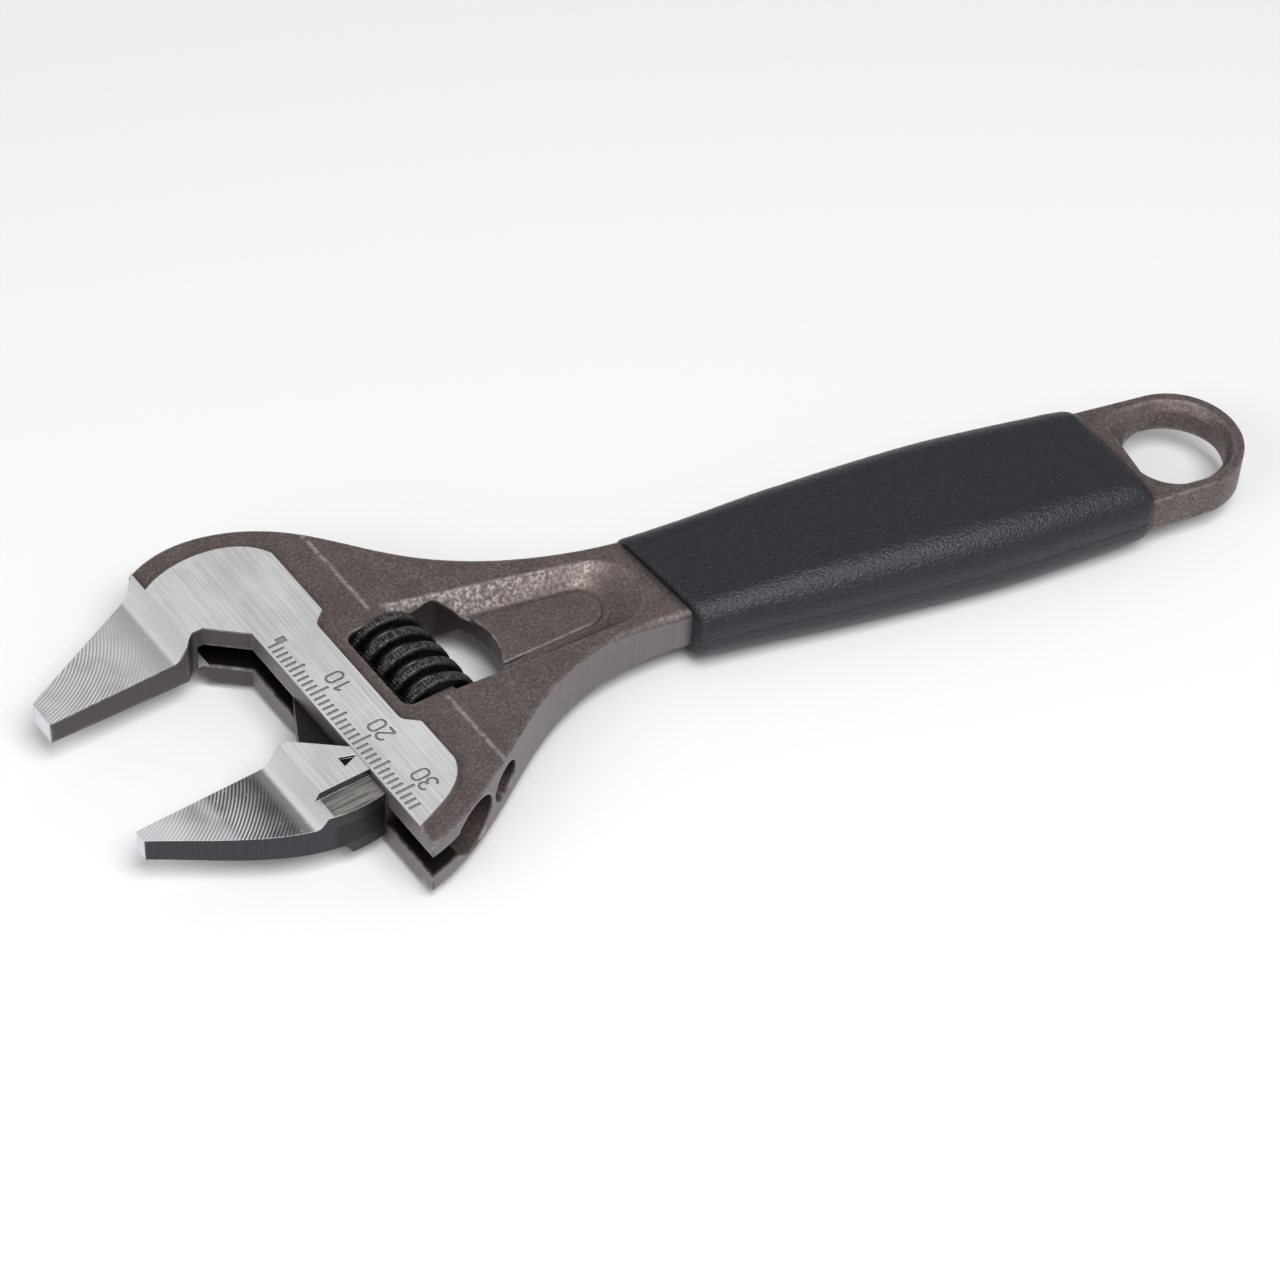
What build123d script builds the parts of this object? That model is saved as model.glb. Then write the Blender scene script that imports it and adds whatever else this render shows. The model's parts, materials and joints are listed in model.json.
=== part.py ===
from build123d import *
import os
from math import cos, radians, sin

os.makedirs("parts", exist_ok=True)

# Adjustable wrench, 170 mm long, jaws opening to 32 mm. Millimetres.
# Row frame: origin at the centre of the hanging hole, on the mid-plane of the wrench.
# +X runs along the handle towards the jaws, +Y towards the movable jaw's side, +Z is the scale side.
# Head features are drawn in the slide frame: its origin is the zero of the scale on the slide face,
# p points out of the slide face towards the jaw tips, q points the way the movable jaw opens.

# ---- driving dimensions ----
jaw_angle = 12.2
slide_x = 131.6
slide_y = -5.0

head_half = 5.1
boss_half = 4.4
neck_half = 3.45
eye_half = 2.75
boss_start_p = -15.4
neck_end_p = -46.0
forging_round = 1.0
pad_chamfer = 0.6
pad_depth = 1.6

jaw_root_p = 7.5
thin_start_p = 9.3
underside_shift = 3.2
tip_p = 28.35
thin_half_root = 2.2
thin_half_tip = 1.75
step_fillet = 1.2

fixed_face_q = -6.65
opening = 21.55
movable_face_q = fixed_face_q + opening
scale_length = 33
tick_spacing = 1.0
tick_width = 0.4
tick_start_p = -0.4
flag_p = -2.5
flag_q = -0.6
flag_length = 1.4
flag_width = 0.9
scale_shift = -0.2
numeral_p = -4.75
numeral_height = 2.4
numeral_stroke = 0.34
numeral_pitch = 1.8
pad_corner_round = 1.0
engraving_depth = 0.18

slot_half = 1.95
key_half = 1.87
bore_p = -8.3
bore_radius = 4.0
bar_radius = 3.92
bore_end_q = -18.3
bar_top_q = 3.6
bar_bottom_q = 30.5
bar_chamfer = 0.8

window_top_q = 2.8
window_bottom_q = 17.8
window_right_p = -9.9
web_half = 1.4
plateau_height = 0.35
window_round = 1.6

worm_p = -15.7
worm_radius = 5.5
worm_core_radius = 3.7
thread_pitch = 3.2
thread_crest_width = 1.35
thread_root_width = 2.1
thread_turns = 4.0
thread_start_q = 3.55
worm_end_clearance = 0.15

pin_radius = 1.6
pin_head_radius = 2.6
pin_clearance = 0.08
pin_hole_radius = 2.65
pin_head_q = 18.4
pin_end_q = 24.0
pin_tip_q = -3.5

spring_wire = 0.7
spring_mean_radius = 2.08
spring_turns = 5
spring_pocket_radius = 2.6
spring_pocket_depth = 4.6

tooth_tip_p = -11.8
tooth_root_p = -9.9
tooth_tip_width = 0.86
tooth_root_width = 1.62
first_tooth_q = thread_start_q + thread_pitch / 4
tooth_slope = 0.1

tooth_gaps = 9
slide_gap = 0.05
shelf_half = 3.9
index_q = 21.6

eye_radius = 9.6
hole_radius = 7.2
funnel_depth = 1.5
grip_eye_x = 9.8
grip_eye_slant = 9.0
grip_neck_x = 78.4
grip_neck_slant = 14.5

# ---- frame helpers ----
jaw_cos = cos(radians(jaw_angle))
jaw_sin = sin(radians(jaw_angle))
p_dir = Vector(jaw_cos, jaw_sin, 0)
q_dir = Vector(-jaw_sin, jaw_cos, 0)
up = Vector(0, 0, 1)
slide_origin = Vector(slide_x, slide_y, 0)


def at(p, q, z=0.0):
    """Row position of a point given in the slide frame."""
    return slide_origin + p_dir * p + q_dir * q + up * z


def slide_plane(z=0.0):
    """Plane of the head at height z, with p to the right and q up."""
    return Plane(origin=at(0, 0, z), x_dir=p_dir, z_dir=up)


def travel_plane(p, q):
    """Plane square to the jaw travel, through (p, q), with its normal along q."""
    return Plane(origin=at(p, q), x_dir=up, z_dir=q_dir)


def profile_plane(q=0.0):
    """Upright plane along p, with p to the right and z up."""
    return Plane(origin=at(0, q), x_dir=p_dir, z_dir=-q_dir)


# ---- features used by both jaws ----
def mill_thin_jaw():
    """Mills both faces of a jaw out to the thin tapered tip; the underside's step is nearer the head."""
    far_p = tip_p + 3
    far_half = thin_half_tip - (far_p - tip_p) * (thin_half_root - thin_half_tip) / (tip_p - thin_start_p)
    clear_z = head_half + 2
    for side, shift in ((1, 0), (-1, underside_shift)):
        root_p = jaw_root_p - shift
        start_p = thin_start_p - shift
        with BuildSketch(profile_plane()) as milled:
            with BuildLine():
                Polyline(
                    (root_p, side * clear_z),
                    (root_p, side * head_half),
                    (start_p, side * thin_half_root),
                    (far_p, side * far_half),
                    (far_p, side * clear_z),
                    close=True,
                )
            make_face()
            fillet(milled.vertices().sort_by_distance((start_p, side * thin_half_root))[0], step_fillet)
        extrude(milled.sketch, amount=60, both=True, mode=Mode.SUBTRACT)


# ---- body with the fixed jaw, forged in one piece ----
def forging_back():
    """Back edge of neck and head, from the neck round to the root of the fixed jaw."""
    return Spline(
        (-60.9, 9.1), (-45, 5.2), (-35, 1.1), (-25, -6.1), (-12.3, -19.5), (-2, -23.8), (7.5, -22.2)
    )


def machined_edge():
    """Edge of the milled face on the movable jaw's side, from the neck to the corner of the head."""
    return Spline((-57.6, 24.9), (-47, 22.7), (-37.2, 22.3), (-28.7, 24.6), (-14.6, 32.6), (0.5, 39.0))


def forging_edge():
    """Lower edge of the raw forging, which stands proud of the milled face beside the head."""
    return Spline((-57.6, 24.9), (-47, 22.7), (-37.2, 22.6), (-28.7, 25.6), (-14.6, 34.6), (2, 42))


def pad_outline():
    """Ground land on each side of the head, a little past the slide face and the root of the thin jaw."""
    Polyline((-10.5, 28.8), (-10.5, 21.0), (-8.45, 19.2), (-8.45, -0.3), (-10.5, -2.0), (-10.5, -14.8))
    Spline((-10.5, -14.8), (-9.2, -16.9), (-1.0, -20.4), (8.6, -17.8))
    Polyline((8.6, -17.8), (8.6, 0.9), (0.9, 0.9), (0.9, 37.0))
    Spline((0.9, 37.0), (-4.5, 34.8), (-8.6, 32.2), (-10.5, 28.8))


def dish_outline(z):
    """Outline of the thumb dish at its floor or out at the face of the forging."""
    if z == web_half:
        top_start, top_end, tip, bottom_end, bottom_start = (
            (-17, 3.4), (-40.5, 9.1), (-43.8, 13.2), (-40.0, 17.6), (-17, 17.4)
        )
    else:
        top_start, top_end, tip, bottom_end, bottom_start = (
            (-17, 0.4), (-45.5, 6.8), (-51.8, 14.0), (-45.0, 21.3), (-17, 18.6)
        )
    Line(top_start, top_end)
    ThreePointArc(top_end, tip, bottom_end)
    Line(bottom_end, bottom_start)
    Line(bottom_start, top_start)


def plateau_outline():
    """Outline of the low raised tongue on the floor of the thumb dish."""
    Line((-17, 4.8), (-40.0, 10.1))
    ThreePointArc((-40.0, 10.1), (-42.9, 13.2), (-39.6, 16.6))
    Polyline((-39.6, 16.6), (-17, 15.8), (-17, 4.8))


def funnel_outline(reach, flat_x, corner):
    """Half round on the free side of the eye, square with rounded corners towards the grip."""
    inset = corner * (1 - cos(radians(45)))
    ThreePointArc((0, reach), (-reach, 0), (0, -reach))
    Line((0, -reach), (flat_x - corner, -reach))
    ThreePointArc((flat_x - corner, -reach), (flat_x - inset, inset - reach), (flat_x, corner - reach))
    Line((flat_x, corner - reach), (flat_x, reach - corner))
    ThreePointArc((flat_x, reach - corner), (flat_x - inset, reach - inset), (flat_x - corner, reach))
    Line((flat_x - corner, reach), (0, reach))


def numeral_stroke_lines(digit):
    """Centre line of one engraved digit, one unit high, about its own middle."""
    if digit == "1":
        Polyline((-0.22, 0.25), (0.05, 0.5), (0.05, -0.5))
    if digit == "2":
        ThreePointArc((-0.27, 0.24), (0.02, 0.5), (0.26, 0.2))
        Polyline((0.26, 0.2), (-0.27, -0.5), (0.28, -0.5))
    if digit == "3":
        ThreePointArc((-0.25, 0.34), (0.24, 0.26), (-0.03, 0.04))
        ThreePointArc((-0.03, 0.04), (0.26, -0.26), (-0.27, -0.34))
    if digit == "0":
        ThreePointArc((-0.27, 0.18), (0, 0.5), (0.27, 0.18))
        Line((0.27, 0.18), (0.27, -0.18))
        ThreePointArc((0.27, -0.18), (0, -0.5), (-0.27, -0.18))
        Line((-0.27, -0.18), (-0.27, 0.18))


with BuildPart() as forged_body:
    # forging of neck and head, before machining
    with BuildSketch(slide_plane()):
        with BuildLine():
            forging_back()
            forging_edge()
            Line((7.5, -22.2), (7.5, 0))
            Line((7.5, 0), (2, 42))
            Line((-60.9, 9.1), (-57.6, 24.9))
        make_face()
    extrude(amount=boss_half, both=True)
    # its faces slope from the boss of the head down to the neck
    with BuildSketch(profile_plane()):
        with BuildLine():
            Polyline(
                (-70, neck_half),
                (neck_end_p, neck_half),
                (boss_start_p, boss_half),
                (20, boss_half),
                (20, -boss_half),
                (boss_start_p, -boss_half),
                (neck_end_p, -neck_half),
                (-70, -neck_half),
                close=True,
            )
        make_face()
    extrude(amount=60, both=True, mode=Mode.INTERSECT)
    fillet(forged_body.edges().filter_by(GeomType.BSPLINE), forging_round)
    # handle bar under the grip, and the hanging eye
    with BuildSketch(Plane.XY):
        with BuildLine():
            Polyline(
                (0, eye_radius),
                (12, 9.9),
                (17, 7.6),
                (76, 7.0),
                (76, -7.0),
                (17, -7.6),
                (12, -9.9),
                (0, -eye_radius),
                close=True,
            )
        make_face()
        Circle(eye_radius)
    extrude(amount=eye_half, both=True)
    # ground pads, chamfered down to the forging
    for side in (1, -1):
        with BuildSketch(slide_plane(side * head_half)) as pad:
            with BuildLine():
                pad_outline()
            make_face()
            for corner in ((-10.5, 21.0), (-8.45, 19.2), (-8.45, -0.3), (-10.5, -2.0)):
                fillet(pad.vertices().sort_by_distance(corner)[0], pad_corner_round)
        extrude(amount=-side * pad_depth)
        pad_top = forged_body.edges().filter_by_position(
            Axis.Z, side * head_half - 0.01, side * head_half + 0.01
        )
        chamfer(pad_top, pad_chamfer)
    # fixed jaw
    with BuildSketch(slide_plane()):
        with BuildLine():
            Polyline(
                (jaw_root_p, -21.6),
                (8.9, -20.4),
                (tip_p, -11.0),
                (tip_p, fixed_face_q),
                (jaw_root_p, fixed_face_q),
                close=True,
            )
        make_face()
    extrude(amount=head_half, both=True)
    mill_thin_jaw()
    # slide face and throat
    with BuildSketch(slide_plane()):
        with BuildLine():
            Polyline(
                (0, 50), (0, -3.6), (4.8, -7.9), (6.4, -7.9), (7.9, fixed_face_q), (12, fixed_face_q), (12, 50),
                close=True,
            )
        make_face()
    extrude(amount=20, both=True, mode=Mode.SUBTRACT)
    # milled face on the movable jaw's side
    with BuildSketch(slide_plane()):
        with BuildLine():
            machined_edge()
            Polyline((0.5, 39.0), (10, 60), (-60, 60), (-57.6, 24.9))
        make_face()
    extrude(amount=20, both=True, mode=Mode.SUBTRACT)
    # thumb dishes
    for side in (1, -1):
        with BuildSketch(slide_plane(side * web_half)):
            with BuildLine():
                dish_outline(web_half)
            make_face()
        with BuildSketch(slide_plane(side * (boss_half + 0.3))):
            with BuildLine():
                dish_outline(boss_half)
            make_face()
        loft(ruled=True, mode=Mode.SUBTRACT)
        with BuildSketch(slide_plane(side * web_half)):
            with BuildLine():
                plateau_outline()
            make_face()
        extrude(amount=side * plateau_height)
    # thumb window
    with BuildSketch(slide_plane()) as window:
        with BuildLine():
            Polyline(
                (-23.6, window_top_q),
                (window_right_p, window_top_q),
                (window_right_p, window_bottom_q),
                (-24.6, window_bottom_q),
            )
            ThreePointArc((-24.6, window_bottom_q), (-27.6, 9.5), (-23.6, window_top_q))
        make_face()
        fillet(window.vertices(), window_round)
    extrude(amount=20, both=True, mode=Mode.SUBTRACT)
    # guide bore for the rack bar, and the slot beside it that runs on into the throat
    with BuildSketch(travel_plane(bore_p, bore_end_q)):
        Circle(bore_radius)
    extrude(amount=70, mode=Mode.SUBTRACT)
    with BuildSketch(slide_plane()):
        with BuildLine():
            Polyline(
                (bore_p, bore_end_q),
                (bore_p + bore_radius, bore_end_q),
                (0.5, -16.4),
                (5.7, -9.5),
                (5.7, 0),
                (2, 0),
                (2, 50),
                (bore_p, 50),
                close=True,
            )
        make_face()
    extrude(amount=slot_half, both=True, mode=Mode.SUBTRACT)
    # bore for the worm pin
    with BuildSketch(travel_plane(worm_p, pin_tip_q - 0.5)):
        Circle(pin_radius + 0.05)
    extrude(amount=20, mode=Mode.SUBTRACT)
    with BuildSketch(travel_plane(worm_p, pin_head_q)):
        Circle(pin_hole_radius)
    extrude(amount=30, mode=Mode.SUBTRACT)
    with BuildSketch(travel_plane(worm_p, window_bottom_q - 1)):
        Circle(pin_radius + 0.05)
    extrude(amount=3, mode=Mode.SUBTRACT)
    # hanging hole, with a funnel from each face that is square towards the grip
    with BuildSketch(Plane.XY):
        Circle(hole_radius)
    extrude(amount=20, both=True, mode=Mode.SUBTRACT)
    for side in (1, -1):
        with BuildSketch(Plane.XY.offset(side * (eye_half - funnel_depth))):
            with BuildLine():
                funnel_outline(hole_radius - 0.2, hole_radius - 0.2, hole_radius - 0.6)
            make_face()
        with BuildSketch(Plane.XY.offset(side * eye_half)):
            with BuildLine():
                funnel_outline(hole_radius + 1.0, hole_radius + 0.4, 2.6)
            make_face()
        loft(ruled=True, mode=Mode.SUBTRACT)
    # scale engraved along the slide face: a tick each millimetre, longer at fives and tens
    for tick in range(scale_length + 1):
        tick_length = 2.8 if tick % 10 == 0 else 2.4 if tick % 5 == 0 else 1.7
        with BuildSketch(slide_plane(head_half)):
            with Locations((tick_start_p - tick_length / 2, tick * tick_spacing + scale_shift)):
                Rectangle(tick_length, tick_width)
        extrude(amount=-engraving_depth, mode=Mode.SUBTRACT)
    # flag at the zero tick
    with BuildSketch(slide_plane(head_half)):
        with Locations((flag_p, flag_q)):
            Rectangle(flag_length, flag_width)
    extrude(amount=-engraving_depth, mode=Mode.SUBTRACT)
    # numerals 10, 20 and 30, read with the jaw tips upwards
    for tens in (1, 2, 3):
        for place, digit in enumerate(f"{tens}0"):
            digit_q = 10 * tens * tick_spacing - numeral_pitch * place + 0.6
            digit_plane = Plane(origin=at(numeral_p, digit_q, head_half), x_dir=-q_dir, z_dir=up)
            with BuildSketch(digit_plane):
                with BuildLine() as strokes:
                    numeral_stroke_lines(digit)
                for stroke in strokes.edges():
                    trace(stroke, line_width=numeral_stroke / numeral_height)
                scale(by=numeral_height)
            extrude(amount=-engraving_depth, mode=Mode.SUBTRACT)
forged_body.part.label = "forged_body"
export_step(forged_body.part, "parts/forged_body.step")


# ---- movable jaw with its key and rack bar ----
with BuildPart() as movable_jaw:
    # round bar in the guide bore
    with BuildSketch(travel_plane(bore_p, bar_top_q)):
        Circle(bar_radius)
    extrude(amount=bar_bottom_q - bar_top_q)
    chamfer(movable_jaw.edges().filter_by(GeomType.CIRCLE), bar_chamfer)
    # jaw outside the head
    with BuildSketch(slide_plane()):
        with BuildLine():
            Polyline(
                (slide_gap, movable_face_q + 5.1),
                (6.2, movable_face_q),
                (tip_p, movable_face_q),
                (tip_p, movable_face_q + 1.9),
            )
            Spline(
                (tip_p, movable_face_q + 1.9),
                (18.0, movable_face_q + 8.7),
                (9.0, movable_face_q + 12.8),
                (slide_gap, movable_face_q + 13.2),
            )
            Line((slide_gap, movable_face_q + 13.2), (slide_gap, movable_face_q + 5.1))
        make_face()
    extrude(amount=head_half, both=True)
    mill_thin_jaw()
    # shelf along the outer edge of each pad
    for side in (1, -1):
        with BuildSketch(slide_plane(side * shelf_half)):
            with Locations((0, movable_face_q + 9.6)):
                Rectangle(thin_start_p, 10, align=(Align.MIN, Align.MIN))
        extrude(amount=side * 5, mode=Mode.SUBTRACT)
    # index mark that reads against the scale
    with BuildSketch(slide_plane(head_half)):
        with BuildLine():
            Polyline((0.1, index_q), (2.4, index_q - 0.85), (2.4, index_q + 0.85), close=True)
        make_face()
    extrude(amount=-2 * engraving_depth, mode=Mode.SUBTRACT)
    # key that runs in the slot, with its gusset ahead of the jaw face
    with BuildSketch(slide_plane()):
        with BuildLine():
            Polyline(
                (bore_p, bar_top_q + bar_chamfer),
                (bore_p + 3.8, bar_top_q + bar_chamfer),
                (0, 6.3),
                (4.6, movable_face_q + 0.4),
                (6.0, movable_face_q + 6),
                (2.0, movable_face_q + 12.5),
                (slide_gap, movable_face_q + 13.1),
                (bore_p + 4, bar_bottom_q - bar_chamfer),
                (bore_p, bar_bottom_q - bar_chamfer),
                close=True,
            )
        make_face()
    extrude(amount=key_half, both=True)
    # flat for the teeth
    with BuildSketch(slide_plane()):
        with BuildLine():
            Polyline(
                (tooth_tip_p, 0), (tooth_tip_p - 5, 0), (tooth_tip_p - 5, 40), (tooth_tip_p, 40), close=True
            )
        make_face()
    extrude(amount=8, both=True, mode=Mode.SUBTRACT)
    # rack tooth gaps, slanted to the lead of the worm
    gap_tip_width = thread_pitch - tooth_tip_width
    gap_root_width = thread_pitch - tooth_root_width
    gap_reach = 5.0
    for gap in range(-1, tooth_gaps):
        gap_q = first_tooth_q + (gap + 0.5) * thread_pitch - tooth_slope * gap_reach
        with BuildSketch(slide_plane(-gap_reach)):
            with BuildLine():
                Polyline(
                    (tooth_root_p, gap_q - gap_root_width / 2),
                    (tooth_root_p, gap_q + gap_root_width / 2),
                    (tooth_tip_p - 0.1, gap_q + gap_tip_width / 2),
                    (tooth_tip_p - 0.1, gap_q - gap_tip_width / 2),
                    close=True,
                )
            make_face()
        extrude(amount=2 * gap_reach, dir=up + q_dir * tooth_slope, mode=Mode.SUBTRACT)
movable_jaw.part.label = "movable_jaw"
export_step(movable_jaw.part, "parts/movable_jaw.step")


# ---- adjusting worm ----
worm_top_q = window_top_q + worm_end_clearance
worm_bottom_q = window_bottom_q - worm_end_clearance
with BuildPart() as adjusting_worm:
    # left-hand thread
    lead = travel_plane(worm_p, thread_start_q).location * Helix(
        thread_pitch, thread_turns * thread_pitch, worm_core_radius - 0.3, lefthand=True, mode=Mode.PRIVATE
    )
    with BuildSketch(Plane(origin=lead @ 0, x_dir=up, z_dir=lead % 0)):
        with BuildLine():
            Polyline(
                (0, -thread_root_width / 2),
                (0.3, -thread_root_width / 2),
                (worm_radius - worm_core_radius + 0.3, -thread_crest_width / 2),
                (worm_radius - worm_core_radius + 0.3, thread_crest_width / 2),
                (0.3, thread_root_width / 2),
                (0, thread_root_width / 2),
                close=True,
            )
        make_face()
    sweep(path=lead, is_frenet=True)
    with BuildSketch(travel_plane(worm_p, worm_top_q)):
        Circle(worm_core_radius)
    extrude(amount=worm_bottom_q - worm_top_q)
    with BuildSketch(travel_plane(worm_p, worm_top_q - 1)):
        Circle(pin_radius + pin_clearance)
    extrude(amount=30, mode=Mode.SUBTRACT)
    # pocket for the spring
    with BuildSketch(travel_plane(worm_p, worm_top_q - 1)):
        Circle(spring_pocket_radius)
    extrude(amount=spring_pocket_depth + 1, mode=Mode.SUBTRACT)
    # thread ends square with the hub
    with BuildSketch(travel_plane(worm_p, worm_bottom_q)):
        Circle(worm_radius + 1)
    extrude(amount=6, mode=Mode.SUBTRACT)
    with BuildSketch(travel_plane(worm_p, worm_top_q)):
        Circle(worm_radius + 1)
    extrude(amount=-6, mode=Mode.SUBTRACT)
adjusting_worm.part.label = "adjusting_worm"
export_step(adjusting_worm.part, "parts/adjusting_worm.step")


# ---- pin that carries the worm, screwed in from the side of the head ----
with BuildPart() as worm_pin:
    with BuildSketch(travel_plane(worm_p, pin_tip_q)):
        Circle(pin_radius)
    extrude(amount=pin_end_q - pin_tip_q - 1)
    with BuildSketch(travel_plane(worm_p, pin_head_q)):
        Circle(pin_head_radius)
    extrude(amount=pin_end_q - pin_head_q)
    # screwdriver slot
    with BuildSketch(travel_plane(worm_p, pin_end_q)):
        Rectangle(0.8, 8)
    extrude(amount=-1.2, mode=Mode.SUBTRACT)
    tip_edge = worm_pin.edges().sort_by(Axis(at(worm_p, 0), q_dir))[0]
    chamfer(tip_edge, 0.4)
worm_pin.part.label = "worm_pin"
export_step(worm_pin.part, "parts/worm_pin.step")


# ---- spring that takes the play out of the worm ----
spring_length = spring_pocket_depth + worm_end_clearance - 0.1
spring_rise = spring_length - spring_wire
with BuildPart() as worm_spring:
    coil = travel_plane(worm_p, window_top_q + 0.05 + spring_wire / 2).location * Helix(
        spring_rise / spring_turns, spring_rise, spring_mean_radius, mode=Mode.PRIVATE
    )
    with BuildSketch(Plane(origin=coil @ 0, x_dir=up, z_dir=coil % 0)):
        Circle(spring_wire / 2)
    sweep(path=coil, is_frenet=True)
worm_spring.part.label = "worm_spring"
export_step(worm_spring.part, "parts/worm_spring.step")


# ---- moulded grip over the handle bar ----
grip_sections = [
    # x, half width, half thickness
    (4, 10.4, 4.6),
    (14, 11.2, 5.6),
    (34, 12.0, 6.2),
    (56, 11.2, 5.9),
    (72, 10.1, 5.1),
    (84, 9.8, 4.7),
]
with BuildPart() as grip_sleeve:
    for section_x, half_width, half_thickness in grip_sections:
        with BuildSketch(Plane(origin=(section_x, 0, 0), x_dir=(0, 1, 0), z_dir=(1, 0, 0))):
            RectangleRounded(2 * half_width, 2 * half_thickness, 0.8 * half_thickness)
    loft()
    # both ends are cut on the slant, the neck end more so
    eye_way = Vector(1, 0, 0).rotate(Axis.Z, grip_eye_slant)
    neck_way = Vector(1, 0, 0).rotate(Axis.Z, grip_neck_slant)
    eye_end = Plane(origin=(grip_eye_x, 0, 0), x_dir=(0, 0, 1), z_dir=eye_way)
    neck_end = Plane(origin=(grip_neck_x, 0, 0), x_dir=(0, 0, 1), z_dir=neck_way)
    split(bisect_by=eye_end, keep=Keep.TOP)
    split(bisect_by=neck_end, keep=Keep.BOTTOM)
    add(forged_body.part, mode=Mode.SUBTRACT)
grip_sleeve.part.label = "grip_sleeve"
export_step(grip_sleeve.part, "parts/grip_sleeve.step")

print("bodies:", *[f"{p.part.label} {p.part.volume:.0f} {len(p.part.solids())}" for p in
      (forged_body, movable_jaw, adjusting_worm, worm_pin, worm_spring, grip_sleeve)], sep="\n  ")
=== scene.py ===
import bpy
import bmesh
import json
from math import atan2, cos, pi, radians, sin, sqrt, tan
from mathutils import Matrix, Vector, noise


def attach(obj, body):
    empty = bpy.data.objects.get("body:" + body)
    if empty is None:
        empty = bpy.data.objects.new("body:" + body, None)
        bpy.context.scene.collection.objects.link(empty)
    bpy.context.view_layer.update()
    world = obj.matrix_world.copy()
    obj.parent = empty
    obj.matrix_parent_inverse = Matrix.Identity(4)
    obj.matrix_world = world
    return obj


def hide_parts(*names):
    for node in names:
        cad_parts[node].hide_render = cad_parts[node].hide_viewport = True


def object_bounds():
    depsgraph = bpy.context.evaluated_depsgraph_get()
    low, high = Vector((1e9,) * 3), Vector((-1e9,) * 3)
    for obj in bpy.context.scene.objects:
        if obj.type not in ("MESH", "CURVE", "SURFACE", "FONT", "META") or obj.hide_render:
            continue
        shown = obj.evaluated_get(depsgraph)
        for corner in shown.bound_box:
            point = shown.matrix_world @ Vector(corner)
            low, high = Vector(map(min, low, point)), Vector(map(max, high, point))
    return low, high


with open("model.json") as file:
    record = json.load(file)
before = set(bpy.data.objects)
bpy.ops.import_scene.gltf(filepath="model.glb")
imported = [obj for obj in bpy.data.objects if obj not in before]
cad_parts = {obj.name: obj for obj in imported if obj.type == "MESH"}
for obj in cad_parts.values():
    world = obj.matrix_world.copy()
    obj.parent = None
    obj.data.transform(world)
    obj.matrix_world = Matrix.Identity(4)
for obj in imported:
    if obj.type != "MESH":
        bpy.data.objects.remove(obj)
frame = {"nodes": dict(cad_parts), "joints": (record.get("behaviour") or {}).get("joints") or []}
cad_low, cad_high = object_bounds()

# Everything is in metres; MM turns the wrench's own millimetres into the frame's metres.
MM = 0.001
nodes = frame["nodes"]
joints = {joint["name"]: joint for joint in frame["joints"]}

# ---- slide frame of the head: p out of the slide face, q along the jaw travel, z up ----
UP = Vector((0, 0, 1))
Q_DIR = Vector(joints["jaw_slide"]["axis"]).normalized()
P_DIR = Q_DIR.cross(UP)
WORM_P = -15.7
WORM_MID_Q = 10.3
WORM_CENTRE = Vector(joints["worm_turn"]["pos_m"])
SLIDE_ORIGIN = WORM_CENTRE - (P_DIR * WORM_P + Q_DIR * WORM_MID_Q) * MM
SLIDE_TURN = atan2(P_DIR.y, P_DIR.x)


# ---- camera ----
CAMERA_PLACE = Vector((0.2415, 0.3284, 0.3744))
CAMERA_HEADING = radians(63.9)
CAMERA_DIP = radians(46.22)
CAMERA_ROLL = radians(-3.73)
CAMERA_LENS = 110.6


def add_camera():
    level = Vector((-sin(CAMERA_HEADING), cos(CAMERA_HEADING), 0))
    ahead = Vector((-cos(CAMERA_HEADING), -sin(CAMERA_HEADING), 0))
    look = ahead * cos(CAMERA_DIP) - UP * sin(CAMERA_DIP)
    fall = -(ahead * sin(CAMERA_DIP) + UP * cos(CAMERA_DIP))
    right = level * cos(CAMERA_ROLL) + fall * sin(CAMERA_ROLL)
    top = level * sin(CAMERA_ROLL) - fall * cos(CAMERA_ROLL)
    camera = bpy.data.objects.new("camera", bpy.data.cameras.new("camera"))
    camera.data.lens = CAMERA_LENS
    camera.data.sensor_width = 36
    camera.data.clip_start = 0.01
    turn = Matrix((right, top, -look)).transposed().to_4x4()
    camera.matrix_world = Matrix.Translation(CAMERA_PLACE) @ turn
    bpy.context.scene.collection.objects.link(camera)
    bpy.context.scene.camera = camera


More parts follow.
